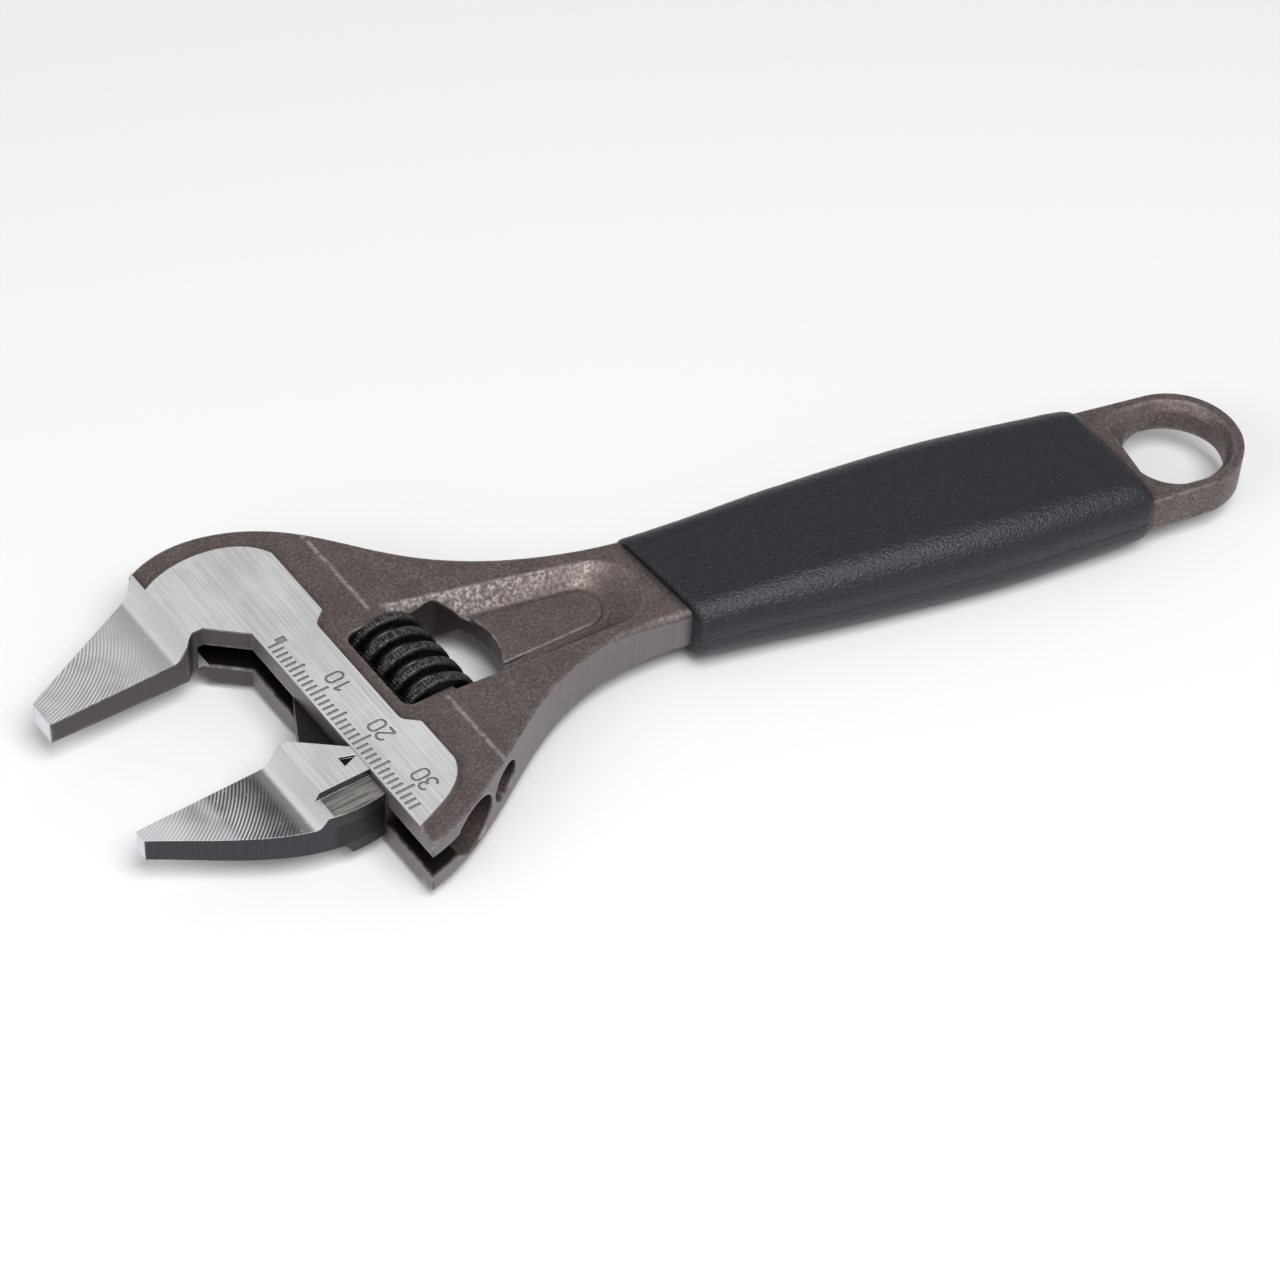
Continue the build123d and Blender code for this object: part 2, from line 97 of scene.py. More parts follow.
# ---- material tools ----
class Nodes:
    """A short way to write a node tree."""

    def __init__(self, name):
        self.material = bpy.data.materials.new(name)
        self.material.use_nodes = True
        self.tree = self.material.node_tree
        self.shader = self.tree.nodes["Principled BSDF"]

    def put(self, kind, inputs=None, **settings):
        node = self.tree.nodes.new("ShaderNode" + kind)
        for key, value in settings.items():
            setattr(node, key, value)
        for key, value in (inputs or {}).items():
            self.feed(node.inputs[key], value)
        return node

    def feed(self, socket, value):
        if hasattr(value, "is_output"):
            self.tree.links.new(value, socket)
        else:
            socket.default_value = value

    def maths(self, operation, first, second=0.0, third=0.0):
        node = self.put("Math", {0: first, 1: second, 2: third}, operation=operation)
        return node.outputs[0]

    def step(self, value, low, high):
        """0 below low, 1 above high, smooth between; with low above high it falls."""
        limits = {0: value, 1: low, 2: high, 3: 0.0, 4: 1.0}
        node = self.put("MapRange", limits, interpolation_type="SMOOTHSTEP")
        if low > high:
            node.inputs[1].default_value = high
            node.inputs[2].default_value = low
            node.inputs[3].default_value = 1.0
            node.inputs[4].default_value = 0.0
        return node.outputs[0]

    def both(self, *masks):
        result = masks[0]
        for mask in masks[1:]:
            result = self.maths("MULTIPLY", result, mask)
        return result

    def either(self, first, second):
        return self.maths("MAXIMUM", first, second)

    def flip(self, mask):
        return self.maths("SUBTRACT", 1.0, mask)

    def mix(self, mask, first, second):
        """Colour that goes from first to second as the mask goes from 0 to 1."""
        node = self.put("Mix", {0: mask, 6: first, 7: second}, data_type="RGBA")
        return node.outputs[2]

    def blend(self, mask, first, second):
        """Number that goes from first to second as the mask goes from 0 to 1."""
        node = self.put("Mix", {0: mask, 2: first, 3: second}, data_type="FLOAT")
        return node.outputs[0]

    def slide_coordinates(self):
        """Object coordinates turned into the slide frame, in millimetres."""
        place = self.put("TexCoord").outputs["Object"]
        slide_frame = {"Location": SLIDE_ORIGIN, "Rotation": (0, 0, SLIDE_TURN), "Scale": (MM, MM, MM)}
        turned = self.put("Mapping", {"Vector": place, **slide_frame}, vector_type="TEXTURE")
        return turned.outputs[0]

    def stretched(self, place, scale):
        return self.put("Mapping", {"Vector": place, "Scale": scale}).outputs[0]

    def noise(self, place, scale, detail=3.0, roughness=0.55):
        settings = {"Vector": place, "Scale": scale, "Detail": detail, "Roughness": roughness}
        return self.put("TexNoise", settings).outputs["Fac"]

    def bump(self, height, distance, strength=1.0, under=None):
        node = self.put("Bump", {"Strength": strength, "Distance": distance, "Height": height})
        if under is not None:
            self.feed(node.inputs["Normal"], under)
        return node.outputs[0]

    def rounded(self, radius):
        """Normal of the surface as if its edges were rounded to this radius."""
        return self.put("Bevel", {"Radius": radius}, samples=4).outputs[0]

    def edges(self, round_normal, gain=3.0):
        """Mask of the sharp edges, from how far the rounded normal leaves the true one."""
        flat_normal = self.put("NewGeometry").outputs["Normal"]
        agree = self.put("VectorMath", {0: round_normal, 1: flat_normal}, operation="DOT_PRODUCT")
        away = self.maths("SUBTRACT", 1.0, agree.outputs["Value"])
        return self.maths("MINIMUM", self.maths("MULTIPLY", away, gain), 1.0)

    def open_sides(self, reach):
        """1 on open faces and outer edges, less in corners and hollows."""
        shade_node = self.put("AmbientOcclusion", {"Distance": reach}, samples=4)
        return self.step(shade_node.outputs["AO"], 0.72, 0.93)

    def tones(self, value, *stops):
        """Grey that passes through (value, grey from 0 to 255) stops in order."""
        first_tone = stops[0][1]
        result = shade(first_tone, first_tone, first_tone)
        for before, (end, tone) in zip(stops, stops[1:]):
            result = self.mix(self.step(value, before[0], end), result, shade(tone, tone, tone + 2))
        return result

    def finish(self, colour, roughness, metallic, normal=None):
        self.feed(self.shader.inputs["Base Color"], colour)
        self.feed(self.shader.inputs["Roughness"], roughness)
        self.feed(self.shader.inputs["Metallic"], metallic)
        if normal is not None:
            self.feed(self.shader.inputs["Normal"], normal)
        return self.material


def shade(red, green, blue):
    """Linear colour of an sRGB one given from 0 to 255."""
    linear = []
    for value in (red, green, blue):
        part = value / 255
        linear.append(((part + 0.055) / 1.055) ** 2.4 if value > 10 else part / 12.92)
    return (*linear, 1)


HEAD_HALF = 5.1
JAW_ROOT_P = 7.5
UNDERSIDE_SHIFT = 3.2
THIN_P = 9.6
TIP_P = 28.35
BOSS_RIDGE_P = -15.4
SLOT_HALF = 1.97
SHELF_HALF = 3.9
CUTTER_PITCH = 0.46
FIXED_CUTTER_CENTRE = (33.0, -25.0, 0)
MOVABLE_CUTTER_CENTRE = (33.0, 4.0, 0)

# Painted reflection and highlight: greys along the thin jaws that stand in for the light band at the step
# and the reflection gradient on the milled faces, as (p, grey from 0 to 255).
FIXED_JAW_REFLECTION_TONES = ((JAW_ROOT_P, 198), (THIN_P, 215), (10.4, 168), (14.0, 182), (20.0, 146), (27.0, 164))
MOVABLE_JAW_REFLECTION_TONES = (
    (JAW_ROOT_P, 200), (THIN_P, 218), (10.4, 130), (12.2, 66), (14.5, 48),
    (17.6, 62), (19.2, 156), (21.0, 148), (26.0, 200),
)
# pale edges: partly real wear, partly painted highlight
PALE_WEAR_AND_HIGHLIGHT = shade(190, 184, 182)
ENGRAVED = shade(126, 123, 122)
# painted shade on the walls of the thumb window
WINDOW_WALL_SHADE = shade(52, 42, 44)
# painted highlight for the glints on the thumb dish
GLINT = shade(184, 178, 178)
# painted shade for corners and hollows
HOLLOW_SHADE = shade(38, 31, 31)
# painted shade for the floor of the slot
SLOT_FLOOR_SHADE = shade(30, 25, 26)
JAW_TIP = shade(214, 216, 224)


def head_masks(m, place):
    """Masks shared by the body and the jaw: ground land, engraving, milled thin jaw, upright faces."""
    split = m.put("SeparateXYZ", {0: place})
    p, q, z = split.outputs
    height = m.maths("ABSOLUTE", z)
    normal = m.put("SeparateXYZ", {0: m.put("TexCoord").outputs["Normal"]})
    level = m.maths("ABSOLUTE", normal.outputs[2])
    flat = m.step(level, 0.93, 0.97)
    land = m.both(m.step(height, HEAD_HALF - 0.05, HEAD_HALF - 0.02), flat)
    engraved = m.both(m.step(height, HEAD_HALF - 0.5, HEAD_HALF - 0.45), m.flip(land), flat)
    below = m.step(z, 0.5, -0.5)
    root = m.blend(below, JAW_ROOT_P, JAW_ROOT_P - UNDERSIDE_SHIFT)
    jaw = m.step(m.maths("SUBTRACT", p, root), -0.05, 0.02)
    milled = m.both(jaw, m.step(level, 0.3, 0.45))
    upright = m.step(level, 0.3, 0.15)
    return p, q, height, land, engraved, milled, upright


def ground_finish(m, place):
    """Colour, roughness and height of a face ground along the jaw travel."""
    fine = m.noise(m.stretched(place, (7.0, 0.1, 1.0)), 1.0, 2.0)
    broad = m.noise(m.stretched(place, (1.6, 0.025, 1.0)), 1.0, 2.0)
    cloud = m.noise(place, 0.12, 2.0)
    lines = m.maths("ADD", m.maths("MULTIPLY", fine, 0.68), m.maths("MULTIPLY", broad, 0.32))
    value = m.maths("ADD", m.maths("MULTIPLY", lines, 0.75), m.maths("MULTIPLY", cloud, 0.25))
    colour = m.mix(m.step(value, 0.38, 0.62), shade(190, 191, 190), shade(224, 225, 224))
    rough = m.blend(m.step(lines, 0.3, 0.7), 0.46, 0.34)
    return colour, rough, lines


def milled_finish(m, place, centre, base):
    """Colour, roughness and height of a face milled by a cutter that swings round centre."""
    arm = m.put("VectorMath", {0: place, 1: centre}, operation="SUBTRACT").outputs[0]
    flat_arm = m.put("VectorMath", {0: arm, 1: (1, 1, 0)}, operation="MULTIPLY").outputs[0]
    reach = m.put("VectorMath", {0: flat_arm}, operation="LENGTH").outputs["Value"]
    swing = m.maths("SINE", m.maths("MULTIPLY", reach, 2 * pi / CUTTER_PITCH))
    ridges = m.maths("MULTIPLY_ADD", swing, 0.5, 0.5)
    p = m.put("SeparateXYZ", {0: place}).outputs[0]
    showing = m.step(p, 10.0, 18.0)
    uneven = m.step(m.noise(place, 0.25, 1.0), 0.0, 0.7)
    amount = m.maths("MULTIPLY", m.both(ridges, showing, uneven), 0.9)
    colour = m.mix(amount, base, shade(238, 240, 240))
    # painted highlight: pale sparks painted on the milled face
    spark_highlights = m.step(m.noise(place, 2.6, 2.0), 0.68, 0.74)
    colour = m.mix(m.maths("MULTIPLY", spark_highlights, 0.5), colour, shade(235, 236, 238))
    return colour, m.blend(ridges, 0.34, 0.42), m.both(ridges, showing)


def forging_finish(m, place):
    """Colour, roughness and height of the raw phosphated forging."""
    grain = m.noise(place, 2.3, 4.0, 0.7)
    patch = m.noise(place, 0.3, 3.0)
    dents = m.put("TexVoronoi", {"Vector": place, "Scale": 1.3, "Smoothness": 0.8}, feature="SMOOTH_F1")
    dent = dents.outputs["Distance"]
    height = m.maths("ADD", m.maths("MULTIPLY", grain, 0.7), m.maths("MULTIPLY", dent, 0.3))
    base = m.mix(m.step(patch, 0.35, 0.65), shade(101, 90, 88), shade(113, 101, 99))
    colour = m.mix(m.step(grain, 0.35, 0.6), shade(82, 71, 70), base)
    # painted highlight: the brightest grains are painted pale as sparkles
    sparkle_highlight = m.step(grain, 0.56, 0.72)
    colour = m.mix(m.maths("MULTIPLY", sparkle_highlight, 0.5), colour, shade(158, 149, 148))
    return colour, m.blend(m.step(grain, 0.4, 0.7), 0.5, 0.36), height


def sawn_finish(m, place, tone):
    """Colour and height of an upright machined face, with its fine upright cutter lines."""
    lines = m.noise(m.stretched(place, (5.0, 5.0, 0.15)), 1.0, 2.0)
    dark = tuple(value * 0.84 for value in tone[:3]) + (1,)
    return m.mix(m.step(lines, 0.3, 0.7), dark, tone), lines


def turned_normal(m):
    """Surface normal in the slide frame, as (along p, along q, level)."""
    own = m.put("TexCoord").outputs["Normal"]
    turned = m.put("VectorRotate", {"Vector": own, "Axis": (0, 0, 1), "Angle": -SLIDE_TURN}).outputs[0]
    split = m.put("SeparateXYZ", {0: turned})
    return split.outputs[0], split.outputs[1], m.maths("ABSOLUTE", split.outputs[2])


def forged_body_material():
    m = Nodes("phosphated_forging")
    place = m.slide_coordinates()
    p, q, height, land, engraved, milled, upright = head_masks(m, place)
    facing_p, facing_q, level = turned_normal(m)
    ground_colour, ground_rough, ground_height = ground_finish(m, place)
    # the thin jaw's greys are painted reflection and highlight
    thin_reflection_tones = m.tones(p, *FIXED_JAW_REFLECTION_TONES)
    milled_colour, milled_rough, milled_height = milled_finish(m, place, FIXED_CUTTER_CENTRE, thin_reflection_tones)
    raw_colour, raw_rough, raw_height = forging_finish(m, place)
    side = m.both(upright, m.step(facing_q, 0.5, 0.7), m.step(q, 15.0, 16.0), m.step(p, -62.0, -61.0))
    front = m.both(upright, m.step(p, -0.3, -0.1))
    slide_face = m.both(upright, m.step(facing_p, 0.8, 0.9), m.step(p, 0.3, 0.1), m.step(p, -0.3, -0.1))
    tip = m.both(upright, m.step(facing_p, 0.5, 0.8), m.step(p, TIP_P - 0.3, TIP_P - 0.1))
    # painted shade: the floor of the slot is painted near black where it lies in shade
    within_slot = m.step(height, SLOT_HALF + 0.05, SLOT_HALF)
    slot = m.both(within_slot, m.step(p, -20.0, -19.0), m.step(level, 0.9, 0.95))
    side_colour, side_height = sawn_finish(m, place, shade(119, 112, 115))
    front_colour, front_height = sawn_finish(m, place, shade(80, 73, 76))
    colour = m.mix(side, raw_colour, side_colour)
    colour = m.mix(front, colour, front_colour)
    colour = m.mix(slide_face, colour, side_colour)
    # painted shade on the slot floor
    colour = m.mix(slot, colour, SLOT_FLOOR_SHADE)
    # painted shade: the walls of the thumb window are painted darker than the rest, where shade falls
    # inside the window
    window_p = m.both(m.step(p, -30.0, -29.0), m.step(p, -9.0, -9.6))
    window_q = m.both(m.step(q, 2.0, 2.6), m.step(q, 18.6, 18.0))
    colour = m.mix(m.both(window_p, window_q, upright), colour, WINDOW_WALL_SHADE)
    # painted highlight: the far slope of the thumb dish is rough, with pale glints painted into its colour
    sloping = m.both(m.step(level, 0.96, 0.88), m.step(level, 0.4, 0.6))
    in_dish = m.both(m.step(p, -54.0, -48.0), m.step(p, -12.0, -18.0), m.step(q, 9.0, 6.0))
    glints = m.both(sloping, in_dish, m.step(m.noise(place, 1.7, 4.0, 0.65), 0.47, 0.62))
    colour = m.mix(m.maths("MULTIPLY", glints, 0.5), colour, GLINT)
    # painted shade: corners and hollows are darkened by the occlusion mask
    clear = m.open_sides(1.2 * MM)
    colour = m.mix(m.maths("MULTIPLY", m.flip(clear), 0.45), colour, HOLLOW_SHADE)
    colour = m.mix(land, colour, ground_colour)
    colour = m.mix(milled, colour, milled_colour)
    colour = m.mix(tip, colour, JAW_TIP)
    colour = m.mix(engraved, colour, ENGRAVED)
    clean = m.either(m.either(land, milled), m.either(side, front))
    soft_normal = m.rounded(m.blend(m.either(land, milled), 0.8 * MM, 0.12 * MM))
    patchy = m.step(m.noise(place, 0.7, 4.0), 0.25, 0.75)
    # pale convex edges: partly real wear, partly painted highlight where the edges catch the light
    worn_and_highlit = m.both(m.edges(soft_normal, 5.0), patchy, m.flip(engraved), clear)
    colour = m.mix(m.maths("MULTIPLY", worn_and_highlit, 0.7), colour, PALE_WEAR_AND_HIGHLIGHT)
    # painted highlight: pale broken lines along the boss ridges beside the thumb window, where the raised
    # ridges catch the light
    beside_window = m.either(m.step(q, 0.8, 0.2), m.step(q, 18.6, 19.2))
    off_ridge = m.maths("ABSOLUTE", m.maths("SUBTRACT", p, BOSS_RIDGE_P))
    broken = m.step(m.noise(place, 0.9, 3.0), 0.3, 0.6)
    ridge_highlight = m.both(m.step(off_ridge, 0.5, 0.05), beside_window, m.step(level, 0.9, 0.95), broken)
    colour = m.mix(m.maths("MULTIPLY", ridge_highlight, 0.5), colour, PALE_WEAR_AND_HIGHLIGHT)
    rough = m.blend(clean, raw_rough, 0.42)
    rough = m.blend(land, rough, ground_rough)
    rough = m.blend(milled, rough, milled_rough)
    metallic = m.blend(clean, 0.6, 0.58)
    metallic = m.blend(engraved, metallic, 0.2)
    relief = m.bump(m.both(raw_height, m.flip(clean)), 0.06 * MM, 0.9, soft_normal)
    fine = m.maths("ADD", m.both(ground_height, land), m.both(milled_height, milled))
    fine = m.maths("ADD", fine, m.both(side_height, side))
    fine = m.maths("ADD", fine, m.both(front_height, front))
    return m.finish(colour, rough, metallic, m.bump(fine, 0.008 * MM, 0.8, relief))


def movable_jaw_material():
    m = Nodes("machined_jaw_steel")
    place = m.slide_coordinates()
    p, _, height, land, engraved, milled, upright = head_masks(m, place)
    facing_p, _, level = turned_normal(m)
    ground_colour, ground_rough, ground_height = ground_finish(m, place)
    # the thin jaw's greys are painted reflection and highlight
    thin_reflection_tones = m.tones(p, *MOVABLE_JAW_REFLECTION_TONES)
    milled_colour, milled_rough, milled_height = milled_finish(m, place, MOVABLE_CUTTER_CENTRE, thin_reflection_tones)
    side_colour, side_height = sawn_finish(m, place, shade(70, 68, 72))
    above_floor = m.step(height, SHELF_HALF - 0.1, SHELF_HALF - 0.05)
    below_land = m.step(height, SHELF_HALF + 0.1, SHELF_HALF + 0.05)
    shelf = m.both(above_floor, below_land, m.step(p, -0.1, 0), m.step(level, 0.9, 0.95))
    inner = m.step(height, 1.92, 1.88)
    black = m.mix(m.noise(place, 2.0), shade(40, 38, 40), shade(66, 63, 65))
    shelf_lines = m.noise(m.stretched(place, (0.2, 2.5, 1.0)), 1.0)
    shelf_tone = m.mix(m.step(shelf_lines, 0.35, 0.65), shade(122, 121, 118), shade(182, 180, 175))
    colour = m.mix(upright, black, side_colour)
    colour = m.mix(m.both(inner, m.step(p, JAW_ROOT_P, JAW_ROOT_P - 0.4)), colour, black)
    colour = m.mix(shelf, colour, shelf_tone)
    colour = m.mix(land, colour, ground_colour)
    colour = m.mix(milled, colour, milled_colour)
    tip = m.both(upright, m.step(facing_p, 0.5, 0.8), m.step(p, TIP_P - 0.3, TIP_P - 0.1))
    colour = m.mix(tip, colour, JAW_TIP)
    colour = m.mix(m.both(engraved, m.flip(shelf)), colour, shade(36, 35, 36))
    soft_normal = m.rounded(0.15 * MM)
    # pale edges: partly real wear, partly painted highlight where the edges catch the light
    worn_and_highlit = m.both(m.edges(soft_normal, 5.0), m.step(m.noise(place, 1.1, 3.0), 0.3, 0.55))
    colour = m.mix(m.maths("MULTIPLY", worn_and_highlit, 0.7), colour, PALE_WEAR_AND_HIGHLIGHT)
    rough = m.blend(m.either(land, milled), 0.42, ground_rough)
    rough = m.blend(milled, rough, milled_rough)
    fine = m.maths("ADD", m.both(ground_height, land), m.both(milled_height, milled))
    fine = m.maths("ADD", fine, m.both(side_height, upright))
    metallic = m.blend(m.either(land, milled), 0.92, 0.58)
    return m.finish(colour, rough, metallic, m.bump(fine, 0.008 * MM, 0.8, soft_normal))


def blackened_material():
    m = Nodes("blackened_worm_steel")
    place = m.slide_coordinates()
    mottle = m.noise(place, 1.8, 4.0)
    p, _, z = m.put("SeparateXYZ", {0: place}).outputs
    across = m.maths("SUBTRACT", p, WORM_P)
    radius = m.maths("SQRT", m.maths("ADD", m.maths("MULTIPLY", across, across), m.maths("MULTIPLY", z, z)))
    crest = m.step(radius, WORM_RADIUS - 0.5, WORM_RADIUS - 0.3)
    top = m.step(radius, WORM_RADIUS - 0.05, WORM_RADIUS - 0.01)
    lit_core_band = m.step(radius, CORE_RADIUS + 0.5, CORE_RADIUS + 0.2)
    # painted light: the thread flanks are near black where the grooves lie in shade, and the core band and
    # crest are painted lighter where they catch the light; the mottle is real
    colour = m.mix(m.step(mottle, 0.35, 0.7), shade(14, 13, 14), shade(26, 25, 26))
    colour = m.mix(lit_core_band, colour, shade(52, 51, 54))
    colour = m.mix(crest, colour, m.mix(m.step(mottle, 0.35, 0.65), shade(46, 43, 44), shade(80, 76, 76)))
    # pale knurl tops: partly real wear, partly painted highlight on the lit crests
    worn_and_highlit = m.both(top, m.step(mottle, 0.4, 0.6))
    colour = m.mix(m.maths("MULTIPLY", worn_and_highlit, 0.55), colour, shade(150, 146, 146))
    rough = m.blend(m.step(mottle, 0.3, 0.7), 0.28, 0.42)
    return m.finish(colour, rough, 0.8, m.bump(mottle, 0.015 * MM, 0.6))


def plain_steel_material(name, low, high):
    m = Nodes(name)
    place = m.slide_coordinates()
    drawn = m.noise(m.stretched(place, (4.0, 0.2, 4.0)), 1.0, 2.0)
    colour = m.mix(drawn, low, high)
    return m.finish(colour, m.blend(drawn, 0.28, 0.42), 0.95, m.bump(drawn, 0.01 * MM, 0.6))


def grip_material():
    m = Nodes("moulded_black_grip")
    place = m.slide_coordinates()
    cells = m.put("TexVoronoi", {"Vector": place, "Scale": 2.4, "Smoothness": 0.6}, feature="SMOOTH_F1")
    pebbles = m.flip(cells.outputs["Distance"])
    wrinkle = m.noise(place, 3.0, 3.0, 0.6)
    fine = m.noise(place, 7.0, 2.0)
    grain = m.maths("ADD", m.maths("MULTIPLY", pebbles, 0.5), m.maths("MULTIPLY", wrinkle, 0.9))
    colour = m.mix(m.step(wrinkle, 0.35, 0.65), shade(11, 12, 20), shade(24, 25, 35))
    rough = m.blend(m.step(fine, 0.3, 0.7), 0.33, 0.44)
    relief = m.bump(grain, 0.15 * MM, 1.0)
    relief = m.bump(fine, 0.02 * MM, 0.5, relief)
    return m.finish(colour, rough, 0.0, relief)


# ---- mesh tools ----
def add_piece(name, verts, faces):
    mesh = bpy.data.meshes.new(name)
    mesh.from_pydata([tuple(v) for v in verts], [], faces)
    mesh.validate()
    piece = bpy.data.objects.new(name, mesh)
    bpy.context.scene.collection.objects.link(piece)
    tidy = bmesh.new()
    tidy.from_mesh(mesh)
    bmesh.ops.recalc_face_normals(tidy, faces=tidy.faces)
    tidy.to_mesh(mesh)
    tidy.free()
    for face in mesh.polygons:
        face.use_smooth = True
    return piece


def between(value, rows):
    """Smooth curve through rows of (place, size...), by Catmull-Rom steps."""
    last = len(rows) - 1
    k = max(0, min(last - 1, sum(1 for row in rows if row[0] <= value) - 1))
    t = (value - rows[k][0]) / (rows[k + 1][0] - rows[k][0])
    before, start, end, after = rows[max(k - 1, 0)], rows[k], rows[k + 1], rows[min(k + 2, last)]
    result = []
    for a, b, c, d in zip(before[1:], start[1:], end[1:], after[1:]):
        slope = (c - a) / 2
        next_slope = (d - b) / 2
        rise = c - b
        square = 3 * rise - 2 * slope - next_slope
        cube = slope + next_slope - 2 * rise
        result.append(b + t * (slope + t * (square + t * cube)))
    return result


# ---- grip ----
GRIP_EYE_SLANT = tan(radians(9.0))
GRIP_NECK_SLANT = tan(radians(14.5))
GRIP_EYE_X = 9.8
GRIP_NECK_X = 78.4
GRIP_ROWS = [
    (4, 10.4, 4.6),
    (14, 11.2, 5.6),
    (34, 12.0, 6.2),
    (56, 11.2, 5.9),
    (72, 10.1, 5.1),
    (84, 9.8, 4.7),
]
GRIP_EYE_ROUND = 2.0
GRIP_NECK_ROUND = 0.8
GRIP_STEPS_LONG = 230
GRIP_STEPS_ROUND = 208
PARTING_DEPTH = 0.1
PARTING_WIDTH = 0.22


def rounded_section(half_width, half_height, count):
    """Points round a rectangle with full corners, as (y, z, outward y, outward z)."""
    corner = 0.8 * half_height
    flat_y = half_width - corner
    flat_z = half_height - corner
    arc = corner * pi / 2
    legs = [2 * flat_z, arc, 2 * flat_y, arc, 2 * flat_z, arc, 2 * flat_y, arc]
    total = sum(legs)
    points = []
    for k in range(count):
        run = total * k / count
        leg = 0
        while run > legs[leg]:
            run -= legs[leg]
            leg += 1
        quarter = leg // 2
        if leg % 2 == 0:
            turn = quarter * pi / 2
            along = run - legs[leg] / 2
            reach = half_width if quarter % 2 == 0 else half_height
            y = reach * cos(turn) - along * sin(turn)
            z = reach * sin(turn) + along * cos(turn)
        else:
            turn = quarter * pi / 2 + run / corner
            y = (flat_y if quarter in (0, 3) else -flat_y) + corner * cos(turn)
            z = (flat_z if quarter in (0, 1) else -flat_z) + corner * sin(turn)
        points.append((y, z, cos(turn), sin(turn)))
    return points


def grip_inset(run, length):
    """How far the skin draws in over the rounded ends."""
    for distance, corner in ((run, GRIP_EYE_ROUND), (length - run, GRIP_NECK_ROUND)):
        if distance < corner:
            return corner - sqrt(max(0.0, corner ** 2 - (corner - distance) ** 2))
    return 0.0


def add_grip():
    length = GRIP_NECK_X - GRIP_EYE_X
    runs = [GRIP_EYE_ROUND * (1 - cos(pi / 2 * k / 8)) for k in range(8)]
    straight = length - GRIP_EYE_ROUND - GRIP_NECK_ROUND
    runs += [GRIP_EYE_ROUND + straight * k / GRIP_STEPS_LONG for k in range(GRIP_STEPS_LONG)]
    runs += [length - GRIP_NECK_ROUND * (1 - sin(pi / 2 * k / 6)) for k in range(7)]
    verts = []
    for run in runs:
        half_width, half_height = between(GRIP_EYE_X + run, GRIP_ROWS)
        inset = grip_inset(run, length)
        for y, z, out_y, out_z in rounded_section(half_width, half_height, GRIP_STEPS_ROUND):
            seam = PARTING_DEPTH * max(0.0, 1 - abs(z) / PARTING_WIDTH) if abs(out_y) > 0.9 else 0.0
            grain = 0.035 * noise.noise(Vector((run, y, z)) * 1.3)
            y -= out_y * (inset + seam - grain + 0.05)
            z -= out_z * (inset + seam - grain + 0.05)
            slant = GRIP_EYE_SLANT + (GRIP_NECK_SLANT - GRIP_EYE_SLANT) * run / length
            verts.append(Vector((GRIP_EYE_X + run - y * slant, y, z)) * MM)
    around = GRIP_STEPS_ROUND
    faces = []
    for row in range(len(runs) - 1):
        for k in range(around):
            a, b = row * around + k, row * around + (k + 1) % around
            faces.append((a, b, b + around, a + around))
    for row in (0, len(runs) - 1):
        ring = [row * around + k for k in range(around)]
        middle = len(verts)
        verts.append(sum((verts[k] for k in ring), Vector()) / around)
        for k in range(around):
            faces.append((ring[k], ring[(k + 1) % around], middle))
    grip = add_piece("grip_skin", verts, faces)
    grip.data.materials.append(grip_material())
    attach(grip, "handle")
    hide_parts("grip_sleeve")


# ---- worm ----
WORM_RADIUS = 5.5
CORE_RADIUS = 3.7
THREAD_PITCH = 3.2
CREST_WIDTH = 1.35
ROOT_WIDTH = 2.1
THREAD_START_Q = 3.55
WORM_TOP_Q = 2.95
WORM_BOTTOM_Q = 17.65
KNURLS = 70
KNURL_DEPTH = 0.1
CREST_ROUND = 0.14


def worm_profile():
    """One pitch of the thread as (distance along the axis, radius, how far it is knurled)."""
    crest, root = CREST_WIDTH / 2, ROOT_WIDTH / 2
    soft = CREST_ROUND
    foot = 0.35
    return [
        (-THREAD_PITCH / 2, CORE_RADIUS, 0.0),
        (-root - foot, CORE_RADIUS, 0.0),
        (-root, CORE_RADIUS + 0.2, 0.0),
        (-crest - 0.1, WORM_RADIUS - soft - 0.15, 0.0),
        (-crest, WORM_RADIUS - soft, 0.6),
        (-crest + soft * 0.35, WORM_RADIUS - soft * 0.3, 1.0),
        (-crest + soft, WORM_RADIUS, 1.0),
        (-crest / 3, WORM_RADIUS, 1.0),
        (crest / 3, WORM_RADIUS, 1.0),
        (crest - soft, WORM_RADIUS, 1.0),
        (crest - soft * 0.35, WORM_RADIUS - soft * 0.3, 1.0),
        (crest, WORM_RADIUS - soft, 0.6),
        (crest + 0.1, WORM_RADIUS - soft - 0.15, 0.0),
        (root, CORE_RADIUS + 0.2, 0.0),
        (root + foot, CORE_RADIUS, 0.0),
    ]


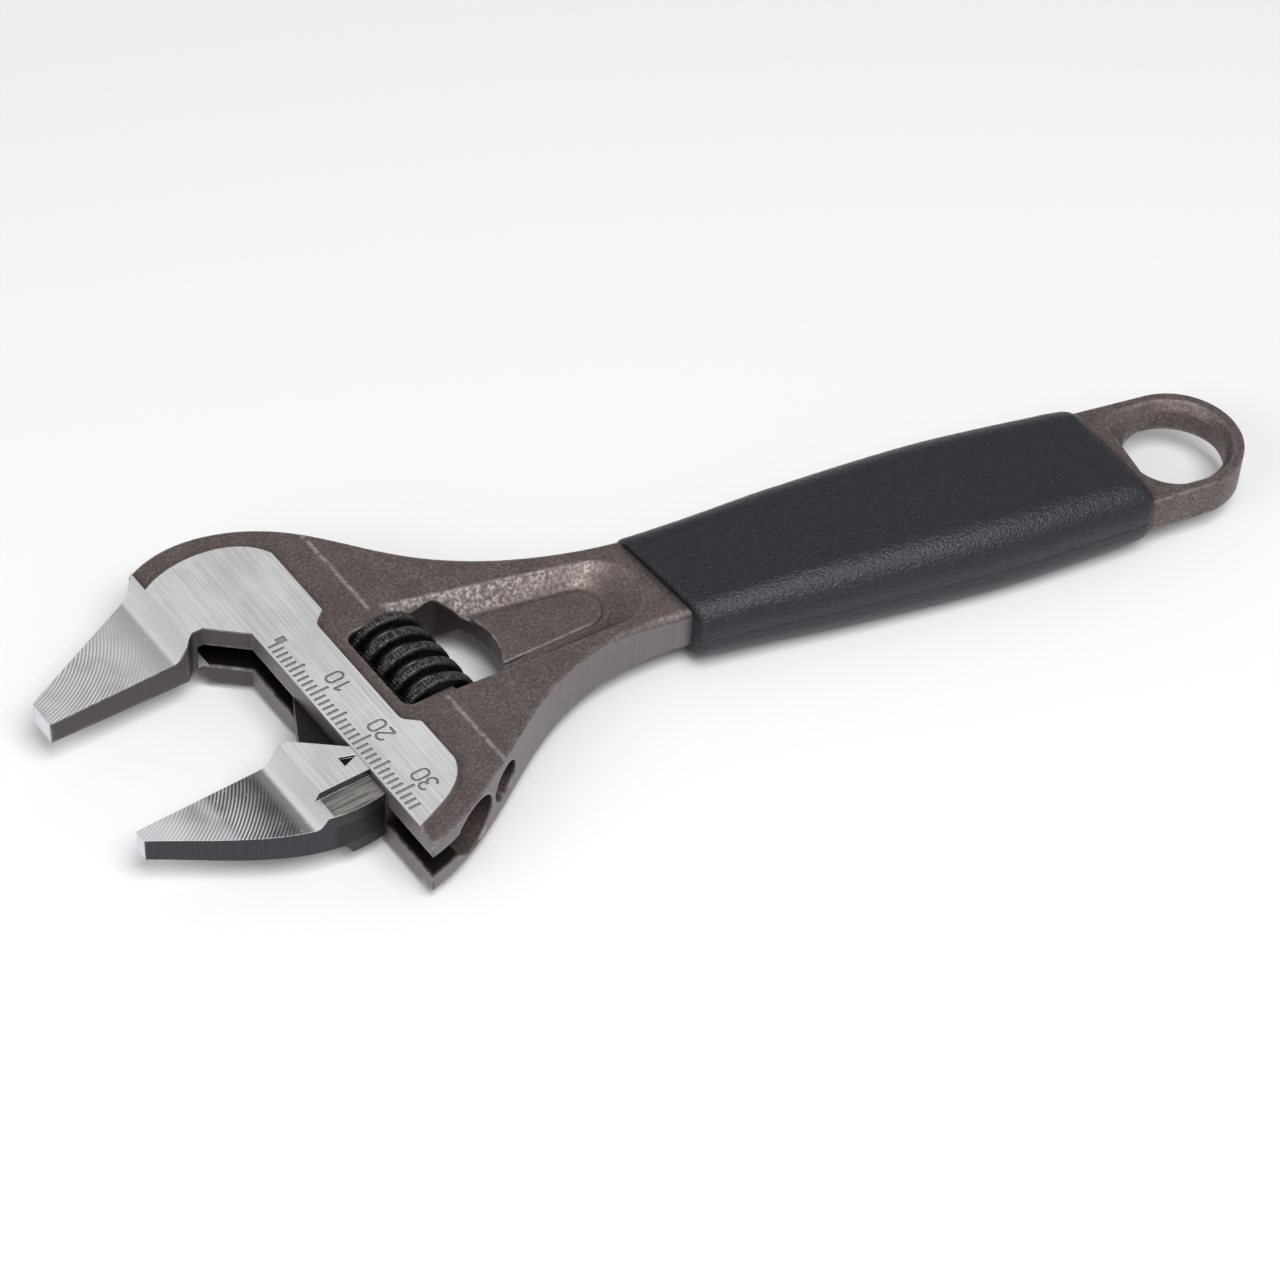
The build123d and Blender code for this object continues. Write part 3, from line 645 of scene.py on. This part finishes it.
def add_worm():
    """Left-hand thread swept as one open skin, longer than the worm at both ends."""
    profile = worm_profile()
    per_turn = KNURLS * 4
    turns = 6.5
    first_turn = -1.5
    steps = int(turns * per_turn)
    width = len(profile)
    axis = WORM_CENTRE - Q_DIR * WORM_MID_Q * MM
    verts = []
    for step in range(steps + 1):
        turn = (first_turn + step / per_turn) * 2 * pi
        knurl = 0.5 - 0.5 * cos(turn * KNURLS)
        # the crest centre stands on the +z side at the start of the thread; the thread is left-hand
        outward = UP * cos(turn) + UP.cross(Q_DIR) * sin(turn)
        for along, radius, cut in profile:
            q = THREAD_START_Q + THREAD_PITCH * turn / (2 * pi) + along
            reach = radius - cut * KNURL_DEPTH * knurl
            verts.append(axis + (outward * reach + Q_DIR * q) * MM)
    faces = []
    for step in range(steps):
        for k in range(width - 1):
            a = step * width + k
            faces.append((a, a + 1, a + 1 + width, a + width))
        # the last point of this turn joins the first point of the next turn
        if step + per_turn < steps:
            a = step * width + width - 1
            b = (step + per_turn) * width
            faces.append((a, b, b + width, a + width))
    return verts, faces


def worm_piece():
    """Thread cut square and closed flat at both ends; the skin has no bore."""
    verts, faces = add_worm()
    worm = add_piece("worm_thread", verts, faces)
    shape = bmesh.new()
    shape.from_mesh(worm.data)
    bmesh.ops.remove_doubles(shape, verts=shape.verts, dist=1e-7)
    axis = WORM_CENTRE - Q_DIR * WORM_MID_Q * MM
    for q, outward in ((WORM_TOP_Q, -1), (WORM_BOTTOM_Q, 1)):
        everything = shape.verts[:] + shape.edges[:] + shape.faces[:]
        end = axis + Q_DIR * q * MM
        bmesh.ops.bisect_plane(
            shape, geom=everything, dist=1e-8, plane_co=end, plane_no=Q_DIR * outward, clear_outer=True
        )
    loops = [edge for edge in shape.edges if edge.is_boundary]
    bmesh.ops.holes_fill(shape, edges=loops, sides=0)
    bmesh.ops.recalc_face_normals(shape, faces=shape.faces)
    shape.to_mesh(worm.data)
    shape.free()
    for face in worm.data.polygons:
        face.use_smooth = True
    return worm


def add_worm_piece():
    worm = worm_piece()
    worm.data.materials.append(blackened_material())
    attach(worm, "worm")
    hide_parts("adjusting_worm")


# ---- surroundings ----
FLOOR_GREY = 0.74
LIGHT_SIZE = 0.5
KEY_POWER = 6.5
FILL_POWER = 2.1
WORLD_STRENGTH = 0.44


def add_floor():
    mesh = bpy.data.meshes.new("floor")
    reach = 3.0
    level = cad_low.z
    corners = [(x * reach, y * reach, level) for x, y in ((-1, -1), (1, -1), (1, 1), (-1, 1))]
    mesh.from_pydata(corners, [], [(0, 1, 2, 3)])
    floor = bpy.data.objects.new("floor", mesh)
    bpy.context.scene.collection.objects.link(floor)
    m = Nodes("pale_floor")
    mesh.materials.append(m.finish((FLOOR_GREY, FLOOR_GREY, FLOOR_GREY, 1), 0.8, 0.0))


def add_light(name, place, aim, size, power):
    lamp = bpy.data.lights.new(name, "AREA")
    lamp.size = size
    lamp.energy = power
    light = bpy.data.objects.new(name, lamp)
    light.location = place
    light.rotation_mode = "QUATERNION"
    light.rotation_quaternion = (Vector(aim) - Vector(place)).to_track_quat("-Z", "Y")
    bpy.context.scene.collection.objects.link(light)


def add_surroundings():
    add_floor()
    middle = (cad_low + cad_high) / 2
    add_light("key", (0.05, 0.35, 0.75), middle, LIGHT_SIZE, KEY_POWER)
    add_light("fill", (0.75, 0.25, 0.4), middle, LIGHT_SIZE, FILL_POWER)
    world = bpy.data.worlds.new("studio")
    world.use_nodes = True
    world.node_tree.nodes["Background"].inputs["Color"].default_value = (1, 1, 1, 1)
    world.node_tree.nodes["Background"].inputs["Strength"].default_value = WORLD_STRENGTH
    scene = bpy.context.scene
    scene.world = world
    scene.view_settings.view_transform = "Standard"


def dress(node, material):
    slots = nodes[node].material_slots
    for slot in slots:
        slot.material = material


add_camera()
dress("forged_body", forged_body_material())
dress("movable_jaw", movable_jaw_material())
dress("worm_pin", plain_steel_material("turned_pin_steel", shade(120, 118, 118), shade(170, 168, 168)))
dress("worm_spring", plain_steel_material("spring_steel", shade(150, 148, 150), shade(205, 204, 206)))
add_grip()
add_worm_piece()
add_surroundings()
